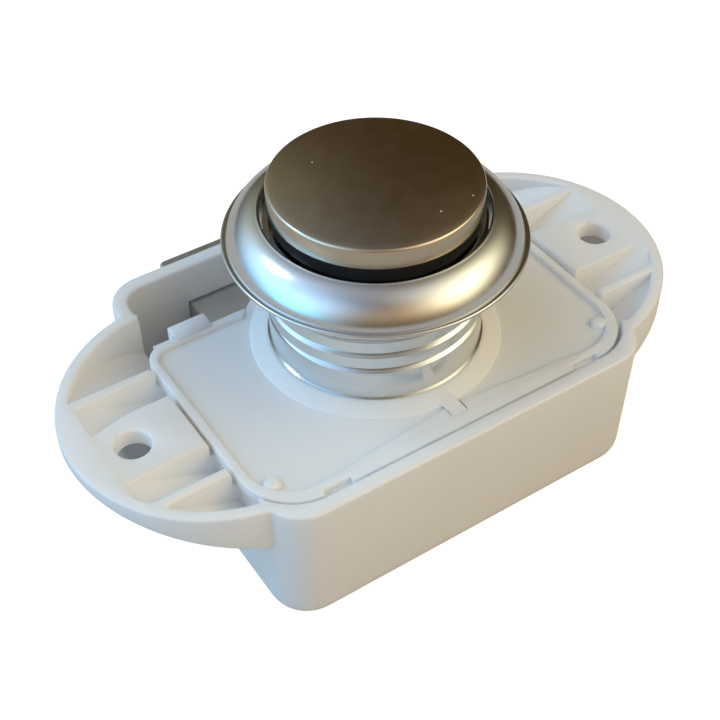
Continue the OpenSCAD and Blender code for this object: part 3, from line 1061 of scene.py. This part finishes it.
@dataclass
class Cover:
    """Cover plate with its lip, its collar round the barrel and its corner studs."""

    half_width: float = 26.3
    front: float = -19.5
    rear: float = 11.8
    bottom: float = -2.1
    top: float = -1.1
    lip_top: float = -0.5
    lip: float = 1.1
    front_lip: float = 1.8
    swell: float = 1.6
    web: float = 2.2
    front_radius: float = 7.0
    rear_radius: float = 3.0
    edge: float = 0.18

    hole: float = 13.2
    hole_z: Pair = (-8.0, 4.0)
    disc: float = 16.7
    relief: float = 3.0
    collar_top: float = 13.45
    collar_foot: float = 15.5
    collar_step: float = 0.3
    collar_drop: float = 0.1
    collar_ease: float = 0.15
    collar_sweep: float = 70.0
    collar_bevel: Pair = (0.12, 0.05)

    window_x: Pair = (15.8, 19.4)
    window_bottom: float = -1.3
    window_depth: float = 0.8
    stud: Pair = (23.478, -14.725)
    stud_radius: float = 1.0
    stud_height: float = 0.7
    stud_edge: float = 0.45
    pad_x: Pair = (14.7, 15.9)
    pad_y: Pair = (-11.8, 9.8)
    pad_length: float = 1.6
    pad_bottom: float = -5.9

    def build(self) -> Piece:
        """Models the cover.

        Returns:
            The finished piece.
        """
        plate = rounded_plate("cover_shell", self.half_width, (self.front, self.rear),
                              (self.bottom, self.lip_top), self.front_radius, self.rear_radius)
        relief = Bench.rod("relief", self.disc, (0, 0, self.top), self.relief, sides=Round.TUBE)
        Bench.trim(relief, (0, 0, 0), (0, 1, 0), Side.FRONT)
        Bench.combine(plate, [self.field(), relief, *self.windows()], Join.CUT)
        Bench.combine(plate, self.raised(), Join.ADD)
        low, high = self.hole_z
        bore = Bench.rod("bore", self.hole, (0, 0, low), high - low, sides=Round.TUBE)
        Bench.combine(plate, [bore], Join.CUT)
        Bench.ease(plate, lambda e: sharp(e) and level(e, self.lip_top), self.edge)
        fit(plate, "cover_plate", "case", Finish.WHITE)
        return plate

    def field(self) -> Piece:
        """Makes the cutter of the sunk field, whose front edge runs in towards the middle.

        Returns:
            The cutter.
        """
        y = (self.front + self.front_lip, self.rear - self.lip)
        field = rounded_plate("field", self.half_width - self.lip, y, (self.top, PAST),
                              self.front_radius - self.lip, self.rear_radius - self.lip)
        with Bench.editing(field, Pick.POINTS):
            for x in (-self.web / 2, self.web / 2):
                Bench.everything()
                bpy.ops.mesh.bisect(plane_co=(x * MM, 0, 0), plane_no=(1, 0, 0), threshold=TINY)
            Bench.pick(field, Pick.POINTS,
                       lambda v: abs(v.co.x) < self.web * MM and v.co.y < 0)
            bpy.ops.transform.translate(value=(0, self.swell * MM, 0))
        return field

    def windows(self) -> list[Piece]:
        """Makes the cutters of the two snap windows in the front edge.

        Returns:
            The left and the right cutter.
        """
        low, high = self.window_x
        right = Bench.block("window", (low, self.front - PAST, self.window_bottom),
                            (high, self.front + self.window_depth, PAST))
        return [Bench.mirrored(right), right]

    def raised(self) -> list[Piece]:
        """Makes the disc, the collar, the web, the studs and the pads under the cover.

        Returns:
            The solids that are added to the cover.
        """
        disc = Bench.rod("disc", self.disc, (0, 0, self.bottom), self.top - self.bottom,
                         sides=Round.TUBE)
        low = self.top - INTO
        turn = (self.collar_foot - self.collar_ease,
                self.top + self.collar_step - self.collar_drop)
        out, down = self.collar_bevel
        collar = Bench.lathe("collar", [
            (0, low), (self.collar_foot, low),
            *arc(turn, self.collar_ease, 0, self.collar_sweep, 4),
            (self.collar_top + out, -down), (self.collar_top, 0), (0, 0)])
        web = Bench.block("web", (-self.web / 2, self.front + self.front_lip, low),
                          (self.web / 2, -self.hole, self.lip_top))
        height = self.stud_height + INTO
        stud = Bench.rod("stud", self.stud_radius, (*self.stud, low), height, sides=Round.PIN)
        Bench.ease(stud, lambda e: sharp(e) and level(e, low + height),
                   self.stud_edge, Curve.MEDIUM)
        inner, outer = self.pad_x
        pads = [Bench.block("pad", (inner, y, self.pad_bottom),
                            (outer, y + self.pad_length, self.bottom + INTO)) for y in self.pad_y]
        right = [stud, *pads]
        return [disc, collar, web, *right, *(Bench.mirrored(part) for part in right)]


@dataclass
class Barrel:
    """Threaded barrel with its flange under the cover."""

    radius: float = 13.0
    shoulder: float = 13.2
    bore: float = 10.4
    flange: float = 15.8
    bottom: float = -3.4
    flange_top: float = -2.1
    top: float = 16.8
    well: float = 12.3
    well_bottom: float = 15.0
    plain_top: float = 3.7
    seam: float = 0.1

    pitch: float = 2.4
    depth: float = 0.5
    groove: float = 0.9
    groove_floor: float = 0.08
    groove_at: float = 4.45
    crest_gap: float = 0.01
    lead: float = 2.5
    phase: float = math.radians(-124)
    steps: int = 120

    def build(self) -> Piece:
        """Models the barrel.

        Returns:
            The finished piece.
        """
        barrel = self.thread()
        Bench.trim(barrel, (0, 0, self.plain_top), (0, 0, 1), Side.FRONT)
        Bench.trim(barrel, (0, 0, self.top), (0, 0, 1), Side.BEHIND)
        seam, low, high = self.plain_top + self.seam, self.bottom - PAST, self.top + PAST
        foot = Bench.lathe("barrel_foot", [
            (0, self.bottom), (self.flange, self.bottom), (self.flange, self.flange_top),
            (self.shoulder, self.flange_top), (self.shoulder, 0), (self.radius, 0),
            (self.radius, seam), (0, seam)])
        Bench.combine(barrel, [foot], Join.ADD)
        hollow = Bench.lathe("barrel_hollow", [
            (0, low), (self.bore, low), (self.bore, self.well_bottom),
            (self.well, self.well_bottom), (self.well, high), (0, high)])
        Bench.combine(barrel, [hollow], Join.CUT)
        barrel.name = "barrel_threaded"
        fit(barrel, "barrel_tube", "case", Finish.SILVER)
        return barrel

    def thread(self) -> Piece:
        """Winds one turn of the thread profile up the barrel.

        Returns:
            The open threaded skin.
        """
        start = self.groove_at - self.pitch * self.lead
        turns = math.ceil((self.top - start) / self.pitch) + 1
        low, half = start + self.pitch, self.groove / 2
        crest = self.radius - self.crest_gap
        root = crest - self.depth
        profile = [(crest, start + half), (crest, low - half), (root, low - self.groove_floor),
                   (root, low + self.groove_floor), (crest, low + half)]
        turn = Matrix.Rotation(self.phase + math.pi, 3, "Z")
        barrel = Bench.line("barrel_thread", [turn @ Vector((r, 0, z)) for r, z in profile])
        Bench.take(barrel)
        bpy.ops.object.modifier_add(type="SCREW")
        screw = barrel.modifiers[-1]
        screw.screw_offset = self.pitch * MM
        screw.iterations = turns
        screw.steps = screw.render_steps = self.steps
        screw.use_merge_vertices = True
        screw.merge_threshold = WELD
        bpy.ops.object.modifier_apply(modifier=screw.name)
        with Bench.editing(barrel, Pick.POINTS):
            Bench.everything()
            bpy.ops.mesh.remove_doubles(threshold=CLEAN_WELD)
            Bench.outward()
        return barrel


@dataclass
class Rosette:
    """Round clamping ring on the outside of the door."""

    bore: float = 13.25
    radius: float = 17.9
    bottom: float = 14.0
    height: float = 4.2
    edge: float = 0.5
    ease: float = 0.2
    rim: float = 0.55
    crown: float = 0.75
    crown_end: float = 1.0
    lip: float = 0.3

    def build(self) -> Piece:
        """Models the rosette.

        Returns:
            The finished piece.
        """
        top, foot = self.bottom + self.height, self.radius - self.rim
        run, rise = foot - self.bore - self.lip, self.height - self.edge
        chord = math.hypot(run, rise)
        bulge = (chord ** 2 / 4 + self.crown ** 2) / (2 * self.crown)
        sink = (bulge - self.crown) / chord
        centre = (foot - run / 2 - sink * rise, top - rise / 2 - sink * run)
        first, last = (math.degrees(math.atan2(z - centre[1], r - centre[0]))
                       for r, z in ((foot, self.bottom + self.edge), (self.bore + self.lip, top)))
        ease, side = self.ease, self.radius - self.ease
        profile = [(self.bore, self.bottom + ease), (self.bore + ease, self.bottom),
                   *arc((side, self.bottom + ease), ease, -90, 0, 4),
                   *arc((side, self.bottom + self.edge - ease), ease, 0, 90, 5),
                   *arc(centre, bulge, first, last - self.crown_end, 28),
                   *arc((self.bore + self.lip, top - self.lip), self.lip, last, 180, 7)]
        profile.append(profile[0])
        ring = Bench.lathe("rosette", profile, Round.RING)
        fit(ring, "rosette_ring", "rosette", Finish.SILVER)
        return ring


@dataclass
class Button:
    """Domed metal cap on its black plunger."""

    radius: float = 12.45
    bottom: float = 19.1
    edge_height: float = 21.7
    dome: float = 1.2
    edge: float = 0.35
    foot: float = 0.15
    wall: float = 1.0
    roof: float = 20.5

    neck: float = 12.1
    neck_bottom: float = 17.1
    neck_ease: float = 0.2
    stem: float = 10.2
    stem_bottom: float = -1.2
    head: float = 11.35
    hollow: float = 7.8
    hollow_roof: float = 16.1

    def build(self) -> list[Piece]:
        """Models the cap and the plunger.

        Returns:
            The two finished pieces.
        """
        cap, plunger = self.cap(), self.plunger()
        fit(cap, "button_cap", "button", Finish.NICKEL)
        fit(plunger, "plunger", "button", Finish.BLACK)
        return [cap, plunger]

    def cap(self) -> Piece:
        """Turns the hollow cap with its shallow dome and rounded edge.

        Returns:
            The cap.
        """
        sphere = (self.radius ** 2 + self.dome ** 2) / (2 * self.dome)
        middle = self.edge_height + self.dome - sphere
        edge_x = self.radius - self.edge
        edge_z = middle + math.sqrt((sphere - self.edge) ** 2 - edge_x ** 2)
        lean = math.degrees(math.atan2(edge_z - middle, edge_x))
        inner = self.radius - self.wall
        profile = [(0, self.roof), (inner, self.roof), (inner, self.bottom),
                   (self.radius - self.foot, self.bottom), (self.radius, self.bottom + self.foot),
                   *arc((edge_x, edge_z), self.edge, 0, lean, 6),
                   *arc((0, middle), sphere, lean, 90, 16)[1:]]
        return Bench.lathe("cap", profile, Round.RING)

    def plunger(self) -> Piece:
        """Turns the plunger with its neck under the cap.

        Returns:
            The plunger.
        """
        ease, low, high = self.neck_ease, self.neck_bottom, self.bottom
        profile = [(0, self.hollow_roof), (self.hollow, self.hollow_roof),
                   (self.hollow, self.stem_bottom), (self.stem, self.stem_bottom),
                   (self.stem, low), (self.neck - ease, low), (self.neck, low + ease),
                   (self.neck, high - ease), (self.neck - ease, high),
                   (self.head, high), (self.head, self.roof), (0, self.roof)]
        return Bench.lathe("plunger_black", profile)


@dataclass
class Bolt:
    """Spring bolt with its two rails and the ramps that draw it back."""

    half_width: float = 14.6
    low: float = -14.0
    high: float = -6.0
    heel: float = 11.7
    root: float = 18.6
    hollow: float = 11.4
    hollow_at: float = 7.2
    tip: float = 31.8
    tip_thickness: float = 3.0
    bevel_start: float = 25.3
    corner: float = 1.0
    edge: float = 0.25
    margin: float = 0.1

    bore_radius: float = 1.25
    bore_front: float = -13.3
    bore_length: float = 15.3
    rail_front: float = -12.3
    rail_x: Pair = (13.5, 17.1)
    ramp_z: Pair = (-16.8, -3.7)
    ramp_rear: Pair = (-3.809, 6.671)
    ramp_inner: float = 11.6
    ramp_root: float = 0.4
    skin: float = 0.03

    def build(self) -> Piece:
        """Models the bolt.

        Returns:
            The finished piece.
        """
        bolt = self.nose()
        right = self.rail()
        Bench.combine(bolt, [*(Bench.mirrored(part) for part in right), *right], Join.ADD)
        bore = Bench.rod("spring_bore", self.bore_radius,
                         (SPRING_AT[0], self.bore_front, SPRING_AT[1]),
                         self.bore_length, Axis.ALONG_Y, Round.PIN)
        hollow = Bench.rod("hollow", self.hollow, (0, self.hollow_at, self.low - PAST),
                           self.high - self.low + 2 * PAST)
        Bench.combine(bolt, [Bench.mirrored(bore), bore, hollow], Join.CUT)
        fit(bolt, "latch_bolt", "bolt", Finish.ZINC)
        return bolt

    def nose(self) -> Piece:
        """Shapes the nose from a block.

        Returns:
            The nose, with its slanted lead-in below and rounded corners and edges.
        """
        nose = Bench.block("bolt_nose", (-self.half_width, self.heel, self.low),
                           (self.half_width, self.tip, self.high))
        Bench.ease(nose, lambda e: upright(e) and middle_of(e).y > self.tip - self.margin,
                   self.corner, Curve.LARGE)
        run, rise = self.tip - self.bevel_start, self.high - self.tip_thickness - self.low
        Bench.trim(nose, (0, self.bevel_start, self.low), (0, -rise, run), Side.FRONT)
        Bench.ease(nose, lambda e: sharp(e) and middle_of(e).y > self.heel + self.margin, self.edge)
        return nose

    def rail(self) -> list[Piece]:
        """Makes the right rail and its ramp.

        Returns:
            The two solids.
        """
        inner, outer = self.rail_x
        arm = Bench.block("arm", (inner, self.rail_front, self.low + self.skin),
                          (outer, self.root, self.high - self.skin))
        front = self.rail_front + self.skin
        bottom, top = self.ramp_z
        below, above = self.ramp_rear
        ramp = Bench.prism("ramp", [(front, bottom), (below, bottom), (above, top), (front, top)],
                           self.ramp_inner + self.skin, inner + self.ramp_root)
        return [arm, ramp]


@dataclass
class Works:
    """Inner pieces that keep the shape of their solids."""

    plastic: tuple[str, ...] = ("drive_slider",)
    steel: tuple[str, ...] = ("drive_pin_left", "drive_pin_right", "button_spring",
                              "bolt_spring_left", "bolt_spring_right", "catch_wire")

    def build(self) -> list[Piece]:
        """Dresses the slider, the pins, the springs and the catch wire.

        Returns:
            The dressed pieces.
        """
        for names, finish in ((self.plastic, Finish.NATURAL), (self.steel, Finish.STEEL)):
            for name in names:
                dress(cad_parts[name], finish)
                LOG.info("%s: kept solid, %s", name, finish.slot)
        return [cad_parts[name] for name in (*self.plastic, *self.steel)]


@dataclass(frozen=True)
class SoftBox:
    """Soft round lamp."""

    name: str
    place: Corner
    size: float
    power: float
    colour: Colour

    def build(self) -> None:
        """Hangs the lamp and aims it at the middle of the lock."""
        lamp = bpy.data.lights.new(self.name, "AREA")
        lamp.shape = "DISK"
        lamp.size = self.size
        lamp.energy = self.power
        lamp.color = self.colour
        holder = bpy.data.objects.new(self.name, lamp)
        holder.location = self.place
        holder.rotation_euler = (-Vector(self.place)).to_track_quat("-Z", "Y").to_euler()
        bpy.context.scene.collection.objects.link(holder)


@dataclass(frozen=True)
class Glow:
    """Soft patch of light in the surroundings, at a height and a bearing in degrees."""

    height: float
    bearing: float
    focus: float
    level: float
    colour: Colour

    def aim(self) -> Vector:
        """Gives the direction towards the patch.

        Returns:
            The direction, of length 1.
        """
        height, bearing = math.radians(self.height), math.radians(self.bearing)
        flat = math.cos(height)
        return Vector((flat * math.cos(bearing), flat * math.sin(bearing), math.sin(height)))

    def wire(self, nodes: Nodes, ways: Socket) -> Socket:
        """Adds the patch, which fades with the angle from its middle.

        Args:
            nodes: Node tree of the surroundings.
            ways: Direction that is looked in.

        Returns:
            The light of the patch.
        """
        near = nodes.feed("ShaderNodeVectorMath", ways, operation="DOT_PRODUCT")
        near.inputs[1].default_value = self.aim()
        fade = nodes.feed("ShaderNodeMath", near.outputs["Value"], operation="MULTIPLY_ADD")
        fade.inputs[1].default_value = self.focus
        fade.inputs[2].default_value = math.log(self.level) - self.focus
        power = nodes.feed("ShaderNodeMath", fade.outputs["Value"], operation="EXPONENT")
        light = nodes.add("ShaderNodeBackground")
        light.inputs["Color"].default_value = (*self.colour, 1.0)
        nodes.link(power.outputs["Value"], light.inputs["Strength"])
        return light.outputs["Background"]


LAMP = SoftBox("window_light", (-0.279, 0.299, 0.439), 0.12, 0.25, (0.80, 0.92, 1.0))

GLOWS = (
    Glow(30, 138, 8, 1.85, (0.42, 0.70, 1.00)),
    Glow(10, 175, 12, 2.20, (0.18, 0.62, 1.00)),
    Glow(40, 190, 12, 1.05, (0.48, 0.70, 1.00)),
    Glow(15, 200, 12, 0.22, (1.00, 0.85, 0.50)),
    Glow(28, 235, 12, 0.26, (1.00, 0.72, 0.50)),
    Glow(28, 270, 14, 0.40, (1.00, 0.62, 0.30)),
    Glow(32, 303, 14, 1.95, (1.00, 0.86, 0.56)),
    Glow(42, 335, 14, 1.75, (1.00, 0.91, 0.64)),
    Glow(66, 295, 14, 0.42, (1.00, 1.00, 1.00)),
    Glow(70, 140, 14, 0.40, (0.75, 0.80, 1.00)),
    Glow(30, 100, 14, 0.28, (1.00, 0.90, 0.40)),
)


@dataclass
class Studio:
    """Camera, pale floor, lamp and surroundings. The shade is the dark ellipse on the floor."""

    camera_place: Corner = (-0.065602, -0.097694, 0.109423)
    camera_right: Corner = (0.8358, -0.5490, -0.0061)
    camera_back: Corner = (-0.3875, -0.5977, 0.7018)
    lens: float = 65.096
    sensor: float = 36.0
    clip_start: float = 0.005

    floor_height: float = -19.0
    floor_radius: float = 3.0
    floor_roughness: float = 0.9
    floor_colour: Colour = (0.47, 0.42, 0.38)
    floor_white: float = 0.86
    mirrored_white: float = 0.15
    shade_at: Pair = (11.0, 14.0)
    shade_half: Pair = (43.0, 17.0)
    shade_edge: Pair = (0.95, 1.12)
    shade_colour: Colour = (0.20, 0.17, 0.155)
    shade_white: float = 0.05
    room: Colour = (0.06, 0.035, 0.012)

    def build(self) -> None:
        """Sets up all that isn't part of the lock."""
        bpy.context.scene.view_settings.view_transform = "Standard"
        self.camera()
        self.floor()
        self.surroundings()
        LAMP.build()

    def camera(self) -> None:
        """Puts the camera where the photograph was taken from."""
        lens = bpy.data.cameras.new("camera")
        lens.lens = self.lens
        lens.sensor_width = self.sensor
        lens.clip_start = self.clip_start
        holder = bpy.data.objects.new("camera", lens)
        right, back = Vector(self.camera_right).normalized(), Vector(self.camera_back).normalized()
        turn = Matrix((right, back.cross(right), back)).transposed().to_4x4()
        holder.matrix_world = Matrix.Translation(Vector(self.camera_place)) @ turn
        bpy.context.scene.collection.objects.link(holder)
        bpy.context.scene.camera = holder

    def floor(self) -> None:
        """Lays the pale floor under the lock."""
        Bench.clear()
        bpy.ops.mesh.primitive_circle_add(
            vertices=Round.ROD.value, radius=self.floor_radius, fill_type="NGON",
            location=(0, 0, self.floor_height * MM))
        floor = Bench.settle("floor")
        wires = Wiring("pale_floor")
        away = self.away(wires)
        light = wires.span(away, 0, 1, *self.shade_edge)
        wires.give(wires.tint(light, self.shade_colour, self.floor_colour), "Base Color")
        wires.set("Roughness", self.floor_roughness)
        wires.set("Emission Color", (1, 1, 1, 1))
        wires.give(self.bright(wires, away), "Emission Strength")
        floor.data.materials.append(wires.material)

    def away(self, wires: Wiring) -> Socket:
        """Measures how far a point of the floor is from the middle of the shade.

        Args:
            wires: Node tree of the floor.

        Returns:
            The distance, 1 on the outline of the shade.
        """
        patch = wires.feed("ShaderNodeMapping", wires.place)
        places = [-at / half for at, half in zip(self.shade_at, self.shade_half)]
        patch.inputs["Scale"].default_value = [1 / (MM * half) for half in self.shade_half] + [0]
        patch.inputs["Location"].default_value = places + [0]
        length = wires.feed("ShaderNodeVectorMath", patch.outputs["Vector"], operation="LENGTH")
        return length.outputs["Value"]

    def bright(self, wires: Wiring, away: Socket) -> Socket:
        """Makes the floor white to the eye and a little to the metal, but not in the shade.

        Args:
            wires: Node tree of the floor.
            away: Distance from the middle of the shade.

        Returns:
            The strength of the white.
        """
        ray = wires.add("ShaderNodeLightPath").outputs
        faint = wires.span(ray["Is Glossy Ray"], 0.0, self.mirrored_white, 0.0, 1.0)
        seen = wires.feed("ShaderNodeMath", ray["Is Camera Ray"], faint, operation="ADD")
        white = wires.span(away, self.shade_white, self.floor_white, *self.shade_edge)
        both = wires.feed("ShaderNodeMath", white, seen.outputs["Value"], operation="MULTIPLY")
        return both.outputs["Value"]

    def surroundings(self) -> None:
        """Makes the surroundings: white to the eye, a dim room with soft lights to the lock."""
        world = bpy.data.worlds.new("room")
        world.use_nodes = True
        nodes = Nodes(world.node_tree)
        ways = nodes.add("ShaderNodeTexCoord").outputs["Generated"]
        room = nodes.tree.nodes["Background"]
        room.inputs["Color"].default_value = (*self.room, 1.0)
        light = room.outputs["Background"]
        for glow in GLOWS:
            both = nodes.feed("ShaderNodeAddShader", light, glow.wire(nodes, ways))
            light = both.outputs["Shader"]
        white = nodes.add("ShaderNodeBackground")
        white.inputs["Color"].default_value = (1, 1, 1, 1)
        seen = nodes.add("ShaderNodeLightPath").outputs["Is Camera Ray"]
        mix = nodes.feed("ShaderNodeMixShader", seen, light, white.outputs["Background"])
        nodes.link(mix.outputs["Shader"], nodes.tree.nodes["World Output"].inputs["Surface"])
        bpy.context.scene.world = world


def main() -> None:
    """Builds the lock piece by piece, then the studio, and logs each assembly when it is done."""
    logging.basicConfig(level=logging.INFO, format="%(message)s")
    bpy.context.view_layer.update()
    for assembly in (Case(), Cover(), Barrel(), Rosette(), Button(), Bolt(), Works()):
        assembly.build()
        LOG.info("%s done", type(assembly).__name__)
    Studio().build()


if __name__ == "__main__":
    main()
